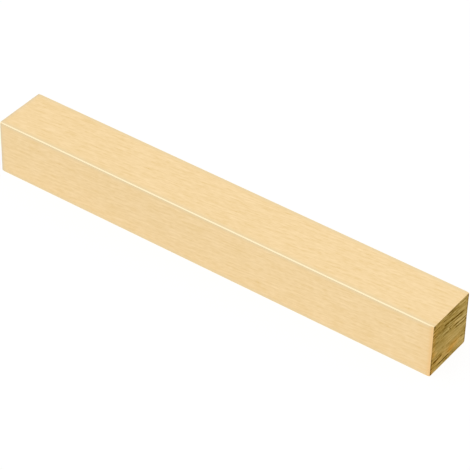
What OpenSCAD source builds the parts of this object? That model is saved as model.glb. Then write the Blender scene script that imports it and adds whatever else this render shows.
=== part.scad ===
// Solid square brass bar: one length of drawn stock, sawn off square at both ends.
// The bar lies along X with its underside on Z = 0 and its middle over the origin.

/* [Section] */
// Width across the flats of the square section
bar_side = 30; // [12:1:60]
// Radius that drawing leaves on the four long corners
corner_r = 0.6; // [0.2:0.1:3]

/* [Length] */
// Length from one sawn end to the other
bar_length = 250; // [100:5:1000]
// Width of the filed bevel that takes the burr off the sawn ends
end_bevel = 0.4; // [0.1:0.1:2]

/* [Hidden] */

// Smoothness of the long corners
corner_fn = 48;
// Place of the corner arcs' centres, from the middle of the section
arc_centre = bar_side / 2 - corner_r;
// Reach of the trimming prisms past the bar, so that only their slopes cut it
trim_over = bar_side / 4;

// Square section with round corners, centred on the origin
module drawn_section() {
    square([bar_side, 2 * arc_centre], center = true);
    square([2 * arc_centre, bar_side], center = true);
    for (u = [-1, 1], v = [-1, 1])
        translate([u * arc_centre, v * arc_centre])
            circle(r = corner_r, $fn = corner_fn);
}

// The drawn stock, centred on the origin and lying along X
module drawn_stock() {
    rotate([90, 0, 90])
        linear_extrude(height = bar_length, center = true)
            drawn_section();
}

// Eight-sided outline whose four slopes lie on the end bevels, at 45 degrees.
// Each slope runs on past the bar at both ends, by the same reach along X and Y.
module bevel_outline() {
    outer_x = bar_length / 2 + trim_over;
    outer_y = bar_side / 2 + trim_over;
    inner_x = bar_length / 2 - end_bevel - trim_over;
    inner_y = bar_side / 2 - end_bevel - trim_over;
    polygon([
        [outer_x, -inner_y], [outer_x, inner_y],
        [inner_x, outer_y], [-inner_x, outer_y],
        [-outer_x, inner_y], [-outer_x, -inner_y],
        [-inner_x, -outer_y], [inner_x, -outer_y]
    ]);
}

// Prism that leaves the bevel on the end edges that run along Z
module bevel_prism() {
    linear_extrude(height = bar_side + 2 * trim_over, center = true)
        bevel_outline();
}

// The finished bar: stock trimmed by the same bevel from above and from the side
module square_bar() {
    color([0.961, 0.843, 0.639])
        translate([0, 0, bar_side / 2])
            intersection() {
                drawn_stock();
                bevel_prism();
                rotate([90, 0, 0])
                    bevel_prism();
            }
}

square_bar();
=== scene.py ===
# Square brass bar: brushed long faces, rounded long corners and sawn ends eased with a file.
# Lengths in the dictionaries are in millimetres, angles in degrees and colours are linear RGB.
import math

import bpy
import numpy as np
from mathutils import Matrix, Vector


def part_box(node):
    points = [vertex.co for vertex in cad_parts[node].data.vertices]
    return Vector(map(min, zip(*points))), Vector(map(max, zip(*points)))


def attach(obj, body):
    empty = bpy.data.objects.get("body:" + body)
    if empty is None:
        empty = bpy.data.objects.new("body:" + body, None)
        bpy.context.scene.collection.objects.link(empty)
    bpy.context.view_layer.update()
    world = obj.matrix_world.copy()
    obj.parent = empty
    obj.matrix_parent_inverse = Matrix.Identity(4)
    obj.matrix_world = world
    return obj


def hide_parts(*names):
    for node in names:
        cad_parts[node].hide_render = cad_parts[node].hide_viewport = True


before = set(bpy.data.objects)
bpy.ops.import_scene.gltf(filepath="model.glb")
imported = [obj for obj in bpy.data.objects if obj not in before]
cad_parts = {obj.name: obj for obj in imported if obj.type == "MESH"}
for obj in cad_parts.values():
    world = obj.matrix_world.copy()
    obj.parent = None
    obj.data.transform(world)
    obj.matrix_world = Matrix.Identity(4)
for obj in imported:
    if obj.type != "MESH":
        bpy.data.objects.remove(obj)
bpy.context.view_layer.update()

mm = 0.001
tolerance = 1e-6                      # points this close to a plane lie on it
print("Frame loaded, nodes:", sorted(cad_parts))

# Camera

cameraPlace = {
    "lens": 188.5,                    # for a 36 mm sensor
    "azimuth": 35.28,                 # 0 looks along +Y
    "elevation": 39.18,
    "roll": 1.25,
    "distance": 1159.8,
    "aim": (5.12, 1.25, 12.73),
    "clipStart": 50.0,
}


def placeCamera(place):
    azimuth = math.radians(place["azimuth"])
    elevation = math.radians(place["elevation"])
    back = Vector((
        math.sin(azimuth) * math.cos(elevation),
        -math.cos(azimuth) * math.cos(elevation),
        math.sin(elevation),
    ))
    across = Vector((math.cos(azimuth), math.sin(azimuth), 0))
    upward = back.cross(across)
    turn = Matrix((across, upward, back)).transposed()
    turn = turn @ Matrix.Rotation(math.radians(place["roll"]), 3, "Z")
    spot = (Vector(place["aim"]) + back * place["distance"]) * mm
    camera = bpy.data.objects.new("barCamera", bpy.data.cameras.new("barCamera"))
    camera.data.lens = place["lens"]
    camera.data.clip_start = place["clipStart"] * mm
    camera.matrix_world = Matrix.Translation(spot) @ turn.to_4x4()
    bpy.context.scene.collection.objects.link(camera)
    bpy.context.scene.camera = camera


placeCamera(cameraPlace)
print("Camera placed")

# Marks on the sawn ends, as lines from one spot to another. A spot is (across, down), from the
# front and the top edge of the end face. A tone below zero makes a groove and one above it a crest.

rightEndMarks = {
    # Cuts and crests, from the top edge down
    "topScore": {"start": (6.5, 0.6), "stop": (20.0, 1.1), "width": 0.35, "tone": -0.4},
    "topCrest": {"start": (21.0, 1.7), "stop": (27.6, 2.7), "width": 0.4, "tone": 0.9},
    "topShade": {"start": (15.0, 1.9), "stop": (21.8, 3.1), "width": 0.35, "tone": -0.4},
    "upperShade": {"start": (8.2, 2.8), "stop": (12.5, 4.2), "width": 0.45, "tone": -0.35},
    "upperGlint": {"start": (15.0, 3.0), "stop": (19.2, 4.2), "width": 0.5, "tone": 0.6},
    "topUnderShade": {"start": (19.5, 3.1), "stop": (28.6, 3.9), "width": 0.35, "tone": -0.7},
    "upperCrest": {"start": (10.5, 4.8), "stop": (19.5, 5.8), "width": 0.4, "tone": 0.5},
    "longScoreFront": {"start": (9.2, 6.4), "stop": (17.6, 7.1), "width": 0.5, "tone": -1.2},
    "longScoreBack": {"start": (14.8, 6.9), "stop": (27.4, 8.5), "width": 0.5, "tone": -2.2},
    "frontUpperShade": {"start": (-1.5, 7.1), "stop": (4.6, 8.2), "width": 0.6, "tone": -0.7},
    "frontSmudge": {"start": (3.6, 7.3), "stop": (7.5, 8.2), "width": 0.6, "tone": -0.35},
    "scoreShade": {"start": (18.5, 9.2), "stop": (27.0, 10.5), "width": 0.3, "tone": -0.9},
    "middleCrest": {"start": (7.5, 10.0), "stop": (13.5, 10.9), "width": 0.5, "tone": 0.4},
    "pitLip": {"start": (12.8, 9.7), "stop": (14.6, 11.3), "width": 0.35, "tone": 1.4},
    "lightStep": {"start": (18.4, 10.6), "stop": (29.4, 12.0), "width": 0.38, "tone": 1.6},
    "smallPit": {"start": (14.4, 10.9), "stop": (15.9, 12.2), "width": 0.35, "tone": -1.2},
    "middleShade": {"start": (9.0, 11.6), "stop": (14.8, 12.4), "width": 0.35, "tone": -0.5},
    "fineScore": {"start": (19.4, 12.2), "stop": (29.4, 13.2), "width": 0.3, "tone": -1.1},
    "frontMiddleGlint": {"start": (5.0, 12.8), "stop": (13.0, 13.2), "width": 0.5, "tone": 0.5},
    "fineCrest": {"start": (20.0, 13.2), "stop": (29.0, 14.3), "width": 0.35, "tone": 0.7},
    "secondFineScore": {"start": (18.8, 13.8), "stop": (29.8, 15.6), "width": 0.42, "tone": -0.9},
    "frontWarmGlint": {"start": (2.4, 18.6), "stop": (5.8, 18.9), "width": 0.45, "tone": 0.8},
    "backDip": {"start": (22.5, 19.7), "stop": (29.5, 21.8), "width": 0.6, "tone": -0.5},
    "lowGlint": {"start": (8.0, 21.6), "stop": (13.8, 21.8), "width": 0.4, "tone": 0.7},
    "lowScore": {"start": (1.8, 23.2), "stop": (10.6, 23.1), "width": 0.5, "tone": -1.7},
    "backLowShade": {"start": (24.8, 23.1), "stop": (30.2, 24.2), "width": 0.45, "tone": -1.0},
    "lowCrest": {"start": (4.8, 24.5), "stop": (10.8, 25.0), "width": 0.5, "tone": 0.9},
    "lowShade": {"start": (12.5, 25.1), "stop": (24.5, 25.9), "width": 0.4, "tone": -0.8},
    "backLowCrest": {"start": (25.4, 25.4), "stop": (28.9, 26.2), "width": 0.5, "tone": 1.2},
    "lowStep": {"start": (3.6, 25.8), "stop": (10.0, 26.1), "width": 0.35, "tone": 0.6},
    "bottomScore": {"start": (6.5, 26.9), "stop": (15.8, 27.0), "width": 0.42, "tone": -1.8},
    "bottomSmudge": {"start": (10.6, 28.4), "stop": (15.0, 28.7), "width": 0.35, "tone": -0.8},
    # Broad lights and shades
    "frontShade": {"start": (-4.0, 12.4), "stop": (13.0, 13.2), "width": 2.0, "tone": -0.25},
    "middleLight": {"start": (8.0, 17.0), "stop": (28.0, 18.5), "width": 3.0, "tone": 0.25},
    "frontLight": {"start": (-4.0, 17.4), "stop": (10.0, 18.2), "width": 2.0, "tone": 0.25},
    "lowerLight": {"start": (11.0, 24.6), "stop": (26.0, 25.4), "width": 1.8, "tone": 0.4},
    "lowLight": {"start": (-4.0, 28.2), "stop": (16.0, 28.4), "width": 2.4, "tone": 0.25},
    "backLight": {"start": (27.0, 0.0), "stop": (27.0, 44.0), "width": 6.0, "tone": 0.3},
    # Painted shade along the back rim and the lower front rim, and painted shadows of burrs at three corners
    "backRimTop": {"start": (29.7, -2.0), "stop": (29.5, 12.4), "width": 0.5, "tone": -1.3},
    "backRimMiddle": {"start": (29.8, 10.0), "stop": (29.7, 22.5), "width": 0.5, "tone": -0.8},
    "backRimLow": {"start": (29.5, 19.0), "stop": (29.8, 33.0), "width": 0.7, "tone": -1.1},
    "backRimShadeSpot": {"start": (27.4, 13.9), "stop": (31.0, 15.4), "width": 0.6, "tone": -1.1},
    "frontLowRim": {"start": (0.7, 17.0), "stop": (0.4, 31.0), "width": 0.6, "tone": -0.7},
    # Painted shadows of burrs
    "frontTopBurrShadow": {"start": (0.0, 0.2), "stop": (2.0, 1.4), "width": 0.32, "tone": -2.0},
    "frontLowBurrShadow": {"start": (-1.4, 28.8), "stop": (2.2, 30.4), "width": 0.8, "tone": -2.6},
    "backTopBurrShadow": {"start": (28.2, -1.2), "stop": (30.6, 2.2), "width": 0.7, "tone": -2.2},
}
leftEndMarks = {
    "longScore": {"start": (3.0, 9.4), "stop": (19.0, 8.8), "width": 0.5, "tone": -1.3},
    "shortScore": {"start": (17.0, 19.6), "stop": (25.0, 19.9), "width": 0.45, "tone": -1.1},
    "lightStep": {"start": (5.0, 21.0), "stop": (13.0, 20.6), "width": 0.4, "tone": 0.8},
    "lowScore": {"start": (11.0, 26.2), "stop": (22.0, 26.6), "width": 0.5, "tone": -1.0},
    "frontLight": {"start": (3.0, -8.0), "stop": (3.0, 38.0), "width": 5.0, "tone": 0.3},
}

# Places where the saw left hardly a mark
rightEndCalm = {
    "middleFront": {"spot": (9.0, 16.0), "size": (8.0, 5.0), "amount": 0.8},
    "lowerMiddle": {"spot": (19.0, 23.0), "size": (6.0, 3.0), "amount": 0.5},
    "lowerFront": {"spot": (2.5, 27.4), "size": (3.6, 1.4), "amount": 0.7},
    "lowest": {"spot": (19.5, 28.0), "size": (4.5, 1.4), "amount": 0.7},
}
leftEndCalm = {
    "upperBack": {"spot": (20.0, 13.0), "size": (8.0, 4.5), "amount": 0.7},
}

# Places where the cut ran hot and the brass turned warmer in colour
rightEndHeat = {
    "lowerMiddle": {"spot": (19.0, 24.0), "size": (5.5, 3.0), "amount": 0.75},
    "lowest": {"spot": (16.6, 25.0), "size": (1.7, 1.1), "amount": 0.7},
    "lowScore": {"spot": (6.5, 24.0), "size": (6.5, 2.8), "amount": 0.4},
    "upperFront": {"spot": (4.5, 3.0), "size": (7.0, 5.0), "amount": 0.25},
    "frontEdge": {"spot": (0.6, 13.0), "size": (2.4, 11.0), "amount": 0.55},
    "lowerFront": {"spot": (2.4, 18.6), "size": (2.4, 1.6), "amount": 0.5},
    "frontCorner": {"spot": (0.8, 28.2), "size": (2.0, 2.6), "amount": 0.7},
}
leftEndHeat = {
    "upperMiddle": {"spot": (12.0, 5.5), "size": (5.5, 2.8), "amount": 0.8},
    "backEdge": {"spot": (29.0, 18.0), "size": (2.4, 10.0), "amount": 0.5},
}

# How strongly that warmth, and the dulling by the saw's swarf, show on the long faces at each end
rightWarmth = {"front": 1.0, "back": 0.5, "top": 0.15, "bottom": 0.6}
leftWarmth = {"front": 0.2, "back": 0.6, "top": 0.1, "bottom": 0.4}
rightDulling = {"front": 0.0, "back": 0.7, "top": 0.0, "bottom": 0.4}
leftDulling = {"front": 1.0, "back": 0.3, "top": 0.65, "bottom": 0.5}

sawnEnds = {
    "right": {
        "direction": 1, "marks": rightEndMarks, "calm": rightEndCalm, "heat": rightEndHeat,
        "warmth": rightWarmth, "dulling": rightDulling, "seed": 5,
    },
    "left": {
        "direction": -1, "marks": leftEndMarks, "calm": leftEndCalm, "heat": leftEndHeat,
        "warmth": leftWarmth, "dulling": leftDulling, "seed": 11,
    },
}

sawCut = {
    "streakLength": 5.0,              # along the saw's travel, which is the bar's width
    "streakWidth": 0.55,
    "streakTone": 0.6,
    "fineWidth": 0.3,
    "fineTone": 0.45,
    "fineShift": 40,                  # lengths by which the fine streaks start apart from the broad
    "slope": 0.06,                    # how far the streaks dip on their way to the back
    "taper": 0.2,                     # share of a mark's length over which each of its ends fades
    "contrast": 1.25,                 # brings the strongest marks to their full tone
    "depth": 0.04,                    # from crest to groove
    "rimFade": 0.5,                   # the file has taken the marks away this close to the rim
    "warmReach": 2.0,                 # along the long faces
    "dullReach": 1.5,
}
noiseCells = (128, 256)               # the noise repeats after this many whole numbers


def easeShare(share):
    # From 0 to 1 with a gentle start and stop
    return share * share * (3 - 2 * share)


def smoothNoise(along, up, seed):
    # Values between -1 and 1 that pass smoothly from one whole number to the next
    draw = np.random.default_rng(seed).uniform(-1, 1, noiseCells)
    columns, rows = noiseCells
    column = np.floor(along).astype(int)
    row = np.floor(up).astype(int)
    shareAlong = easeShare(along - column)
    shareUp = easeShare(up - row)
    here = draw[column % columns, row % rows] * (1 - shareAlong)
    here += draw[(column + 1) % columns, row % rows] * shareAlong
    above = draw[column % columns, (row + 1) % rows] * (1 - shareAlong)
    above += draw[(column + 1) % columns, (row + 1) % rows] * shareAlong
    return here * (1 - shareUp) + above * shareUp


def softPatches(across, down, patches):
    # Oval patches that fade outwards: 0 away from them, at most 1 inside
    cover = np.zeros(len(across))
    for patch in patches.values():
        (spotAcross, spotDown), (sizeAcross, sizeDown) = patch["spot"], patch["size"]
        reach = ((across - spotAcross) / sizeAcross) ** 2 + ((down - spotDown) / sizeDown) ** 2
        cover += patch["amount"] * np.exp(-reach)
    return np.clip(cover, 0, 1)


def sawTone(across, down, end, cut):
    # -1 in the deepest groove, 1 on the brightest crest
    along = across / cut["streakLength"]
    level = down - cut["slope"] * across
    broad = smoothNoise(along, level / cut["streakWidth"], end["seed"])
    fine = smoothNoise(along + cut["fineShift"], level / cut["fineWidth"], end["seed"] + 1)
    tone = cut["streakTone"] * broad + cut["fineTone"] * fine
    tone *= 1 - softPatches(across, down, end["calm"])
    for mark in end["marks"].values():
        start = np.array(mark["start"])
        run = np.array(mark["stop"]) - start
        # How far along the mark each point lies, from 0 to 1, and how far beside it
        share = ((across - start[0]) * run[0] + (down - start[1]) * run[1]) / (run @ run)
        aside = ((down - start[1]) * run[0] - (across - start[0]) * run[1]) / math.hypot(*run)
        fade = np.clip(np.minimum(share, 1 - share) / cut["taper"], 0, 1)
        tone += mark["tone"] * fade * np.exp(-(aside / mark["width"]) ** 2)
    return np.clip(cut["contrast"] * tone, -1, 1)


def spreadAlong(sharp, half, direction, amounts, reach):
    # Values on the long faces that fade away from one end
    toEnd = half[0] - direction * sharp[:, 0]
    fade = np.exp(-(toEnd / reach) ** 2)
    # Each long face is known by its axis and by the way that it looks along it
    places = {"front": (1, -1), "back": (1, 1), "top": (2, 1), "bottom": (2, -1)}
    spread = np.zeros(len(sharp))
    for side, (axis, outward) in places.items():
        onSide = sharp[:, axis] * outward > half[axis] - tolerance
        spread[onSide] = np.maximum(spread[onSide], amounts[side] * fade[onSide])
    return spread


def sawTraces(sharp, half, ends, cut):
    # What the saw left at each point of the bar: the tone of its marks, warmth and dulling
    tone, heat, dulling = np.zeros((3, len(sharp)))
    for end in ends.values():
        direction = end["direction"]
        onEnd = sharp[:, 0] * direction > half[0] - tolerance
        across = sharp[onEnd, 1] + half[1]
        down = half[2] - sharp[onEnd, 2]
        tone[onEnd] = sawTone(across, down, end, cut)
        heat += spreadAlong(sharp, half, direction, end["warmth"], cut["warmReach"])
        dulling += spreadAlong(sharp, half, direction, end["dulling"], cut["dullReach"])
        heat[onEnd] = softPatches(across, down, end["heat"])
    return tone, heat, dulling


# Mesh of the bar

barShape = {
    "cornerRadius": 0.6,              # on the four long corners, left by drawing
    "endEasing": 0.22,                # how far the file reaches in from the sawn ends
    "easingWander": 0.3,              # share by which that reach wanders round the rim
    "dubbedRadius": 1.2,              # what the long corners grow to at the very ends
    "dubbedReach": 1.8,               # how far from the ends they begin to grow
    "arcSteps": 4,                    # mesh steps over half of a rounded corner
    "columnPitch": 0.26,              # mesh columns across the sawn ends
    "rowPitch": 0.17,                 # mesh rows up the sawn ends
    "nearPitch": 0.4,                 # cross-sections close to the ends
    "nearReach": 2.4,
    "stationPitch": 8.0,              # cross-sections along the rest of the bar
}
# Waves of the file's wander: how many go round the rim, how strong they are and where they
# start, in radians
wanderWaves = ((5, 1.0, 0.7), (11, 0.7, 2.1), (23, 0.4, 0.0))
endSides = 2                          # sides 0 and 1 of the shell are the sawn ends


def arcOffsets(radius, steps):
    # Steps towards the sharp corner that become even angles once the corner is rounded
    return [radius * math.tan(math.radians(45) * step / steps) for step in range(1, steps + 1)]


def crossLines(half, radius, pitch, steps):
    # Places of the mesh lines over a width: even on the flat, closer round the corners
    flat = half - radius
    middle = np.linspace(-flat, flat, round(2 * flat / pitch) + 1)
    outer = flat + np.array(arcOffsets(radius, steps))
    return np.concatenate([-outer[::-1], middle, outer])


def lengthLines(half, shape):
    # Places of the cross-sections along the bar: far apart, then closer towards the ends
    flat = half - shape["endEasing"]
    near = flat - shape["nearReach"]
    middle = np.linspace(-near, near, round(2 * near / shape["stationPitch"]) + 1)
    steps = round(shape["nearReach"] / shape["nearPitch"])
    close = np.linspace(near, flat, steps + 1)[1:]
    outer = flat + np.array(arcOffsets(shape["endEasing"], shape["arcSteps"]))
    side = np.concatenate([close, outer])
    return np.concatenate([-side[::-1], middle, side])


def boxShell(lines):
    # Closed grid over the six sides of a box: its points, its quads and the side of each quad.
    # The sides count left end, right end, front, back, bottom, top.
    counts = [len(line) for line in lines]
    number = np.full(counts, -1)
    onShell = np.zeros(counts, bool)
    for axis in range(3):
        for end in (0, -1):
            side = [slice(None)] * 3
            side[axis] = end
            onShell[tuple(side)] = True
    number[onShell] = np.arange(onShell.sum())
    grid = np.stack(np.meshgrid(*lines, indexing="ij"), -1)
    quads = []
    sides = []
    for axis in range(3):
        for end in (0, -1):
            sheet = np.take(number, end, axis)
            ring = [sheet[:-1, :-1], sheet[1:, :-1], sheet[1:, 1:], sheet[:-1, 1:]]
            outward = (end == -1) != (axis == 1)
            ring = ring if outward else ring[::-1]
            found = np.stack([corner.ravel() for corner in ring], 1)
            quads.append(found)
            sides.append(np.full(len(found), 2 * axis - end))
    return grid[onShell], np.concatenate(quads), np.concatenate(sides)


def fileWander(points, waves):
    # Slow change of the filed edge's reach round the rim, between -1 and 1
    turn = np.arctan2(points[:, 2], points[:, 1])
    sway = sum(strength * np.sin(count * turn + start) for count, strength, start in waves)
    return sway / sum(strength for count, strength, start in waves) * np.sign(points[:, 0])


def roundCorners(points, half, shape):
    # The box's sharp edges become arcs: points outside a smaller core are drawn in towards it
    toEnd = half[0] - abs(points[:, 0])
    grown = np.clip(1 - toEnd / shape["dubbedReach"], 0, 1) ** 2
    side = shape["cornerRadius"] + (shape["dubbedRadius"] - shape["cornerRadius"]) * grown
    end = shape["endEasing"] * (1 + shape["easingWander"] * fileWander(points, wanderWaves))
    radii = np.stack([end, side, side], 1)
    core = np.clip(points, radii - half, half - radii)
    lean = (points - core) / radii
    return core + radii * lean / np.linalg.norm(lean, axis=1, keepdims=True)


def edgeDistances(points, half):
    # How far each point of the box lies from a long corner and from the rim of an end
    toEnd, toSide, toTop = (half - abs(points)).T
    toCorner = np.maximum(toSide, toTop)
    toRim = np.maximum(toEnd, np.minimum(toSide, toTop))
    return toCorner, toRim


def unrollFaces(corners, sides, half):
    # Flat development in metres: u runs along the bar and v round it, from the front's lower edge
    x, y, z = np.moveaxis(corners, -1, 0)
    height = 2 * half[2]
    width = 2 * half[1]
    girth = [
        z,                                        # left end
        z,                                        # right end
        half[2] + z,                              # front
        height + width + half[2] - z,             # back
        2 * height + width + half[1] - y,         # bottom
        height + half[1] + y,                     # top
    ]
    u = np.where(sides[:, None] < endSides, y, x)
    v = np.choose(sides[:, None], girth)
    return np.stack([u, v], -1) * mm


def makeBar(shape, ends, cut):
    low, high = (np.array(corner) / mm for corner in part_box("square_bar"))
    half = (high - low) / 2
    middle = (high + low) / 2
    lines = [
        lengthLines(half[0], shape),
        crossLines(half[1], shape["cornerRadius"], shape["columnPitch"], shape["arcSteps"]),
        crossLines(half[2], shape["cornerRadius"], shape["rowPitch"], shape["arcSteps"]),
    ]
    sharp, quads, sides = boxShell(lines)
    points = roundCorners(sharp, half, shape)
    toCorner, toRim = edgeDistances(sharp, half)
    tone, heat, dulling = sawTraces(sharp, half, ends, cut)

    # The tone that colours a saw mark in the material also sets how deep it is here
    onEnd = half[0] - abs(sharp[:, 0]) < tolerance
    fade = np.clip((toRim - shape["endEasing"]) / cut["rimFade"], 0, 1)
    depth = cut["depth"] * (1 - tone) / 2 * fade
    points[onEnd, 0] -= (np.sign(sharp[:, 0]) * depth)[onEnd]

    mesh = bpy.data.meshes.new("drawnBar")
    mesh.from_pydata(((points + middle) * mm).tolist(), [], quads.tolist())
    mesh.shade_smooth()
    mesh.polygons.foreach_set("material_index", (sides < endSides).astype(np.int32))
    fields = {
        "cornerDistance": toCorner, "rimDistance": toRim,
        "sawTone": tone, "heatTint": heat, "endDulling": dulling,
    }
    for name, values in fields.items():
        layer = mesh.attributes.new(name, "FLOAT", "POINT")
        layer.data.foreach_set("value", values.astype(np.float32))
    development = mesh.uv_layers.new(name="development")
    flat = unrollFaces(sharp[quads], sides, half)
    development.uv.foreach_set("vector", flat.astype(np.float32).ravel())
    mesh.validate()
    bar = bpy.data.objects.new("drawnBar", mesh)
    bpy.context.scene.collection.objects.link(bar)
    return bar


bar = makeBar(barShape, sawnEnds, sawCut)
print("Bar modelled,", len(bar.data.polygons), "faces")

# Node helpers. The values given to them are numbers, colours or sockets of other nodes.

nodeSpacing = (200, -170)             # from one node to the next in the editor
mixInputs = (0, 6, 7)                 # sockets of a colour mix: its factor and both colours
mixOutput = 2
noiseMiddle = 0.5                     # noise textures run from 0 to 1


def addNode(tree, kind, place, settings=None, **inputs):
    node = tree.nodes.new(kind)
    node.location = (place[0] * nodeSpacing[0], place[1] * nodeSpacing[1])
    for name, value in (settings or {}).items():
        setattr(node, name, value)
    for name, value in inputs.items():
        node.inputs[name.replace("_", " ")].default_value = value
    return node


def addMath(tree, operation, place, first, second=None, third=None):
    node = addNode(tree, "ShaderNodeMath", place, {"operation": operation})
    for socket, value in zip(node.inputs, (first, second, third)):
        if isinstance(value, (int, float)):
            socket.default_value = value
        elif value is not None:
            tree.links.new(value, socket)
    return node.outputs[0]


def addMix(tree, place, factor, first, second, blend="MIX"):
    node = addNode(tree, "ShaderNodeMix", place, {"data_type": "RGBA", "blend_type": blend})
    for index, value in zip(mixInputs, (factor, first, second)):
        if isinstance(value, (int, float)):
            node.inputs[index].default_value = value
        elif isinstance(value, tuple):
            node.inputs[index].default_value = (*value, 1)
        else:
            tree.links.new(value, node.inputs[index])
    return node.outputs[mixOutput]


def addSmoothStep(tree, place, value, low, high, **ends):
    # 0 below low and 1 above high, or the two ends given, with a smooth passage between
    step = addNode(tree, "ShaderNodeMapRange", place, {"interpolation_type": "SMOOTHSTEP"}, **ends)
    step.inputs["From Min"].default_value = low
    step.inputs["From Max"].default_value = high
    tree.links.new(value, step.inputs["Value"])
    return step.outputs[0]


def startGroup(name, inputs, outputs):
    group = bpy.data.node_groups.new(name, "ShaderNodeTree")
    for socketName, value in inputs.items():
        socket = group.interface.new_socket(socketName, in_out="INPUT", socket_type="NodeSocketFloat")
        socket.default_value = value
    for socketName in outputs:
        group.interface.new_socket(socketName, in_out="OUTPUT", socket_type="NodeSocketFloat")
    given = addNode(group, "NodeGroupInput", (-6, 0)).outputs
    result = addNode(group, "NodeGroupOutput", (6, 0)).inputs
    return group, given, result


def placeGroup(tree, group, place, values):
    node = addNode(tree, "ShaderNodeGroup", place, {"node_tree": group})
    for name, value in values.items():
        if isinstance(value, (int, float)):
            node.inputs[name].default_value = value
        else:
            tree.links.new(value, node.inputs[name])
    return node.outputs


def addField(tree, name, place):
    # A value that the mesh carries at each of its points
    return addNode(tree, "ShaderNodeAttribute", place, {"attribute_name": name}).outputs["Fac"]


def startMaterial(name):
    material = bpy.data.materials.new(name)
    material.use_nodes = True
    tree = material.node_tree
    return material, tree, tree.nodes["Principled BSDF"]


# Effects that both finishes share

scratchLayers = {
    "coarse": {"length": 1.0, "width": 1.0, "detail": 2.0, "slice": 0.0, "tone": 1.0, "height": 1.0},
    "fine": {"length": 2.0, "width": 0.3, "detail": 1.0, "slice": 7.3, "tone": 0.5, "height": 1.0},
    "short": {"length": 0.2, "width": 0.7, "detail": 0.0, "slice": 14.6, "tone": 0.6, "height": 0.3},
    "hairline": {"length": 1.0, "width": 0.12, "detail": 1.0, "slice": 21.9, "tone": 0.8, "height": 0.2},
}
edgeWaver = {"Scale": 350.0, "Detail": 2.0}
patchNoise = {"Scale": 1.0, "Detail": 3.0}
patchBorder = {"low": 0.3, "high": 0.7}


def makeGrainGroup(layers):
    # Fine scratches that run along the flat development, at a slant
    inputs = {"Slant": 0.0, "Length": 5.0, "Width": 0.7, "Offset": 0.0}
    group, given, result = startGroup("scratchGrain", inputs, ["Tone", "Height"])
    place = addNode(group, "ShaderNodeUVMap", (-6, 2), {"uv_map": "development"})
    split = addNode(group, "ShaderNodeSeparateXYZ", (-5, 2))
    group.links.new(place.outputs[0], split.inputs[0])
    along = addMath(group, "DIVIDE", (-4, 1), split.outputs[0], mm)
    girth = addMath(group, "DIVIDE", (-4, 2), split.outputs[1], mm)
    lean = addMath(group, "MULTIPLY", (-4, 3), along, given["Slant"])
    level = addMath(group, "SUBTRACT", (-3, 2), girth, lean)
    tone = 0.0
    height = 0.0
    for row, layer in enumerate(layers.values()):
        top = 3 * row
        length = addMath(group, "MULTIPLY", (-3, top), given["Length"], layer["length"])
        width = addMath(group, "MULTIPLY", (-3, top + 1), given["Width"], layer["width"])
        spot = addNode(group, "ShaderNodeCombineXYZ", (-1, top))
        group.links.new(addMath(group, "DIVIDE", (-2, top), along, length), spot.inputs[0])
        group.links.new(addMath(group, "DIVIDE", (-2, top + 1), level, width), spot.inputs[1])
        group.links.new(addMath(group, "ADD", (-2, top + 2), given["Offset"], layer["slice"]), spot.inputs[2])
        noise = addNode(group, "ShaderNodeTexNoise", (0, top), Scale=1.0, Detail=layer["detail"])
        group.links.new(spot.outputs[0], noise.inputs["Vector"])
        value = addMath(group, "SUBTRACT", (1, top), noise.outputs["Fac"], noiseMiddle)
        tone = addMath(group, "MULTIPLY_ADD", (2, top), value, layer["tone"], tone)
        height = addMath(group, "MULTIPLY_ADD", (3, top), value, layer["height"], height)
    group.links.new(tone, result["Tone"])
    group.links.new(height, result["Height"])
    return group


def makeEdgeGroup(waver):
    # 1 on an eased edge, 0 on the flats beside it, with a border that wavers a little
    inputs = {"Distance": 1.0, "Reach": 0.6, "Softness": 0.2, "Waver": 0.1}
    group, given, result = startGroup("easedEdge", inputs, ["Mask"])
    place = addNode(group, "ShaderNodeTexCoord", (-6, 4))
    noise = addNode(group, "ShaderNodeTexNoise", (-5, 4), **waver)
    group.links.new(place.outputs["Object"], noise.inputs["Vector"])
    sway = addMath(group, "SUBTRACT", (-4, 4), noise.outputs["Fac"], noiseMiddle)
    shift = addMath(group, "MULTIPLY", (-3, 3), sway, given["Waver"])
    reached = addMath(group, "ADD", (-2, 2), given["Distance"], shift)
    border = addMath(group, "SUBTRACT", (-1, 1), given["Reach"], reached)
    # Half of the soft border lies inside the reach and half outside
    share = addMath(group, "DIVIDE", (0, 1), border, given["Softness"])
    group.links.new(addSmoothStep(group, (2, 1), share, -0.5, 0.5), result["Mask"])
    return group


def makePatchGroup(look, border):
    # Broad cloudy patches, between 0 and 1
    group, given, result = startGroup("cloudyPatches", {"Size": 20.0, "Offset": 0.0}, ["Mask"])
    place = addNode(group, "ShaderNodeTexCoord", (-6, 2))
    scale = addMath(group, "DIVIDE", (-5, 0), 1 / mm, given["Size"])
    spot = addNode(group, "ShaderNodeVectorMath", (-4, 2), {"operation": "SCALE"})
    group.links.new(place.outputs["Object"], spot.inputs[0])
    group.links.new(scale, spot.inputs["Scale"])
    noise = addNode(group, "ShaderNodeTexNoise", (-2, 2), {"noise_dimensions": "4D"}, **look)
    group.links.new(spot.outputs[0], noise.inputs["Vector"])
    group.links.new(given["Offset"], noise.inputs["W"])
    mask = addSmoothStep(group, (0, 1), noise.outputs["Fac"], border["low"], border["high"])
    group.links.new(mask, result["Mask"])
    return group


scratchGrain = makeGrainGroup(scratchLayers)
easedEdge = makeEdgeGroup(edgeWaver)
cloudyPatches = makePatchGroup(patchNoise, patchBorder)


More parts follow.
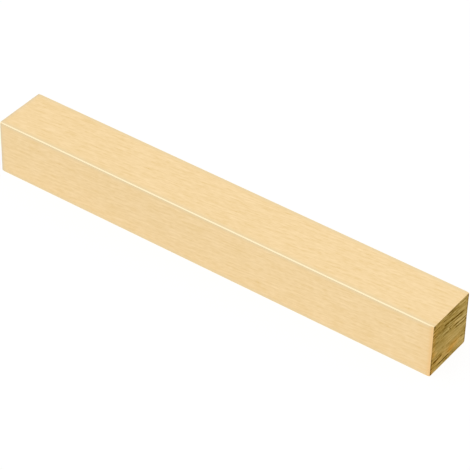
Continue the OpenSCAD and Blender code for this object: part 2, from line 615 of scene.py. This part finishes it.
def dressMetal(tree, shader, finish, colour, rough, height):
    # What both finishes give to their shader
    bump = addNode(tree, "ShaderNodeBump", (-2, 5), Strength=1.0, Distance=finish["relief"] * mm)
    tree.links.new(height, bump.inputs["Height"])
    tree.links.new(colour, shader.inputs["Base Color"])
    tree.links.new(rough, shader.inputs["Roughness"])
    tree.links.new(bump.outputs[0], shader.inputs["Normal"])
    shader.inputs["Metallic"].default_value = 1.0
    shader.inputs["Specular Tint"].default_value = (*finish["edgeTint"], 1)


# Brushed brass: the four long faces and their corners

brushedFinish = {
    "darkScratch": (0.814, 0.580, 0.264),
    "paleScratch": (1.0, 0.784, 0.490),
    "scratchBalance": 0.5,                   # half way between those two colours
    "scratchContrast": 0.82,
    "grain": {"Slant": 0.095, "Length": 12.0, "Width": 1.2},
    "clouding": (0.996, 0.994, 0.990),       # tones the brass down in patches
    "clouds": {"Size": 35.0},
    "dullColour": (0.85, 0.668, 0.395),      # a darker, greyer band beside the long corners
    "dullBand": {"Reach": 1.7, "Softness": 2.0, "Waver": 0.5},
    "swarfColour": (0.76, 0.645, 0.45),      # dulled by the saw's swarf, close to the ends
    "paintedCornerHighlight": (1.0, 0.86, 0.58),       # painted highlight along the long corners
    "cornerBand": {"Reach": 0.45, "Softness": 0.25, "Waver": 0.12},
    "warmColour": (0.90, 0.60, 0.28),        # warmed by the saw, close to the ends
    "edgeTint": (0.95, 0.85, 0.65),
    "roughness": 0.34,
    "roughSwing": 0.12,                      # between the bottom and the top of a scratch
    "cornerRoughness": 0.22,
    "relief": 0.004,                         # height of the scratches
}


def makeBrushedBrass(finish):
    material, tree, shader = startMaterial("brushedBrass")
    toCorner = addField(tree, "cornerDistance", (-8, 4))
    swarf = addField(tree, "endDulling", (-6, 5))
    heat = addField(tree, "heatTint", (-5, 6))
    grain = placeGroup(tree, scratchGrain, (-7, 0), finish["grain"])
    clouds = placeGroup(tree, cloudyPatches, (-7, 2), finish["clouds"])
    corner = placeGroup(tree, easedEdge, (-7, 4), {"Distance": toCorner, **finish["cornerBand"]})
    band = placeGroup(tree, easedEdge, (-7, 5), {"Distance": toCorner, **finish["dullBand"]})
    contrast = finish["scratchContrast"]
    scratched = addMath(tree, "MULTIPLY_ADD", (-6, 0), grain["Tone"], contrast, finish["scratchBalance"])
    colour = addMix(tree, (-5, 0), scratched, finish["darkScratch"], finish["paleScratch"])
    colour = addMix(tree, (-5, 1), clouds["Mask"], colour, finish["clouding"], "MULTIPLY")
    colour = addMix(tree, (-4, 1), band["Mask"], colour, finish["dullColour"])
    colour = addMix(tree, (-4, 2), swarf, colour, finish["swarfColour"])
    # Painted highlight: the long corners take a pale colour
    colour = addMix(tree, (-3, 1), corner["Mask"], colour, finish["paintedCornerHighlight"])
    colour = addMix(tree, (-2, 1), heat, colour, finish["warmColour"])
    rough = addMath(tree, "MULTIPLY_ADD", (-3, 3), grain["Tone"], finish["roughSwing"], finish["roughness"])
    smoother = finish["cornerRoughness"] - finish["roughness"]
    rough = addMath(tree, "MULTIPLY_ADD", (-2, 3), corner["Mask"], smoother, rough)
    dressMetal(tree, shader, finish, colour, rough, grain["Height"])
    return material


# Sawn brass: both ends, raw from the saw

sawnFinish = {
    "colour": (0.42, 0.324, 0.120),
    "crestColour": (0.60, 0.485, 0.225),     # on top of the saw marks
    "grooveColour": (0.112, 0.066, 0.006),   # at the bottom of them
    "grain": {"Slant": 0.06, "Length": 4.0, "Width": 0.5, "Offset": 3.0},
    "grainContrast": 1.5,
    "warmTint": (1.28, 0.96, 0.66),          # where the cut ran hot
    "clouds": {"Size": 9.0, "Offset": 4.0},
    "cloudWarmth": 0.2,
    "paintedRimShade": (0.34, 0.24, 0.10),         # painted shade round the rim of the ends
    "rimBand": {"Reach": 0.3, "Softness": 0.3, "Waver": 0.4},
    "edgeTint": (0.7, 0.5, 0.25),
    "roughness": 0.5,
    "roughSwing": 0.2,
    "relief": 0.02,
}


def makeSawnBrass(finish):
    material, tree, shader = startMaterial("sawnBrass")
    tone = addField(tree, "sawTone", (-7, 0))
    heat = addField(tree, "heatTint", (-7, 2))
    toRim = addField(tree, "rimDistance", (-7, 6))
    grain = placeGroup(tree, scratchGrain, (-7, 1), finish["grain"])
    clouds = placeGroup(tree, cloudyPatches, (-7, 3), finish["clouds"])
    rim = placeGroup(tree, easedEdge, (-6, 6), {"Distance": toRim, **finish["rimBand"]})
    full = addMath(tree, "MULTIPLY_ADD", (-5, 0), grain["Tone"], finish["grainContrast"], tone)
    crest = addMath(tree, "MAXIMUM", (-4, 0), full, 0.0)
    groove = addMath(tree, "MAXIMUM", (-4, 1), addMath(tree, "MULTIPLY", (-5, 1), full, -1.0), 0.0)
    warmth = addMath(tree, "MULTIPLY_ADD", (-5, 3), clouds["Mask"], finish["cloudWarmth"], heat)
    colour = addMix(tree, (-3, 0), crest, finish["colour"], finish["crestColour"])
    colour = addMix(tree, (-2, 0), groove, colour, finish["grooveColour"])
    # Painted shade: the rim of each end is darkened
    colour = addMix(tree, (-1, 0), rim["Mask"], colour, finish["paintedRimShade"])
    colour = addMix(tree, (0, 0), warmth, colour, finish["warmTint"], "MULTIPLY")
    rough = addMath(tree, "MULTIPLY_ADD", (-3, 3), grain["Tone"], finish["roughSwing"], finish["roughness"])
    dressMetal(tree, shader, finish, colour, rough, grain["Height"])
    return material


bar.data.materials.append(makeBrushedBrass(brushedFinish))
bar.data.materials.append(makeSawnBrass(sawnFinish))
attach(bar, "root")
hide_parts("square_bar")
print("Bar dressed")

# Floor, lamps and world

studio = {
    "floorSize": 6000.0,
    "floorGlow": 1.13,                # for the camera, where 1 is white
    "floorMirrored": 1.12,            # for what the metal reflects
    "shadowShare": 0.2,
    "floorColour": (0.9, 0.9, 0.9),
    "horizon": 0.96,                  # what the metal reflects from the side
    "zenith": 1.075,
    "ambient": 0.6,                   # light on the floor from all round
}
# The lamps face the origin, which lies under the middle of the bar
softboxes = {
    "frontSoftbox": {"from": (-0.437, -0.633, 0.638), "distance": 1500.0, "size": 900.0, "radiance": 0.08},
    "backSoftbox": {"from": (0.63, 0.64, 0.44), "distance": 1500.0, "size": 700.0, "radiance": 0.08},
}


def mirroredRays(tree, rays, place):
    # 1 for what metal or glass shows of the surroundings
    return addMath(tree, "MAXIMUM", place, rays["Is Glossy Ray"], rays["Is Transmission Ray"])


def makeFloor(studio):
    side = studio["floorSize"] / 2 * mm
    mesh = bpy.data.meshes.new("floor")
    corners = [(-side, -side, 0), (side, -side, 0), (side, side, 0), (-side, side, 0)]
    mesh.from_pydata(corners, [], [(0, 1, 2, 3)])
    floor = bpy.data.objects.new("floor", mesh)
    bpy.context.scene.collection.objects.link(floor)
    material, tree, shader = startMaterial("paleFloor")
    tree.nodes.remove(shader)
    rays = addNode(tree, "ShaderNodeLightPath", (-5, 0)).outputs
    mirrored = mirroredRays(tree, rays, (-4, 1))
    seen = addMath(tree, "MAXIMUM", (-3, 0), rays["Is Camera Ray"], mirrored)
    share = addMath(tree, "MULTIPLY", (-2, 0), seen, 1 - studio["shadowShare"])
    dimmer = studio["floorMirrored"] - studio["floorGlow"]
    glow = addMath(tree, "MULTIPLY_ADD", (-3, 2), mirrored, dimmer, studio["floorGlow"])
    emission = addNode(tree, "ShaderNodeEmission", (-2, 2))
    diffuse = addNode(tree, "ShaderNodeBsdfDiffuse", (-2, 1), Color=(*studio["floorColour"], 1))
    mix = addNode(tree, "ShaderNodeMixShader", (-1, 0))
    tree.links.new(glow, emission.inputs["Strength"])
    tree.links.new(share, mix.inputs[0])
    tree.links.new(diffuse.outputs[0], mix.inputs[1])
    tree.links.new(emission.outputs[0], mix.inputs[2])
    tree.links.new(mix.outputs[0], tree.nodes["Material Output"].inputs["Surface"])
    mesh.materials.append(material)


def hangSoftbox(name, box):
    size = box["size"] * mm
    lamp = bpy.data.lights.new(name, "AREA")
    lamp.shape = "SQUARE"
    lamp.size = size
    lamp.energy = box["radiance"] * math.pi * size * size        # in watts
    direction = Vector(box["from"]).normalized()
    holder = bpy.data.objects.new(name, lamp)
    holder.location = direction * box["distance"] * mm
    holder.rotation_euler = direction.to_track_quat("Z", "Y").to_euler()
    bpy.context.scene.collection.objects.link(holder)


def lightWorld(studio):
    world = bpy.data.worlds.new("whiteTent")
    bpy.context.scene.world = world
    world.use_nodes = True
    tree = world.node_tree
    background = tree.nodes["Background"]
    rays = addNode(tree, "ShaderNodeLightPath", (-6, 0)).outputs
    mirrored = mirroredRays(tree, rays, (-5, 1))
    direction = addNode(tree, "ShaderNodeTexCoord", (-6, 3))
    split = addNode(tree, "ShaderNodeSeparateXYZ", (-5, 3))
    tree.links.new(direction.outputs["Generated"], split.inputs[0])
    levels = {"To_Min": studio["horizon"], "To_Max": studio["zenith"]}
    sky = addSmoothStep(tree, (-4, 3), split.outputs["Z"], 0.0, 1.0, **levels)
    shown = addMath(tree, "MULTIPLY", (-3, 1), mirrored, sky)
    shown = addMath(tree, "MAXIMUM", (-2, 1), shown, rays["Is Camera Ray"])
    strength = addMath(tree, "MAXIMUM", (-1, 1), shown, studio["ambient"])
    tree.links.new(strength, background.inputs["Strength"])
    background.inputs["Color"].default_value = (1, 1, 1, 1)


makeFloor(studio)
for boxName, box in softboxes.items():
    hangSoftbox(boxName, box)
lightWorld(studio)
bpy.context.scene.view_settings.view_transform = "Standard"
print("Studio lit")
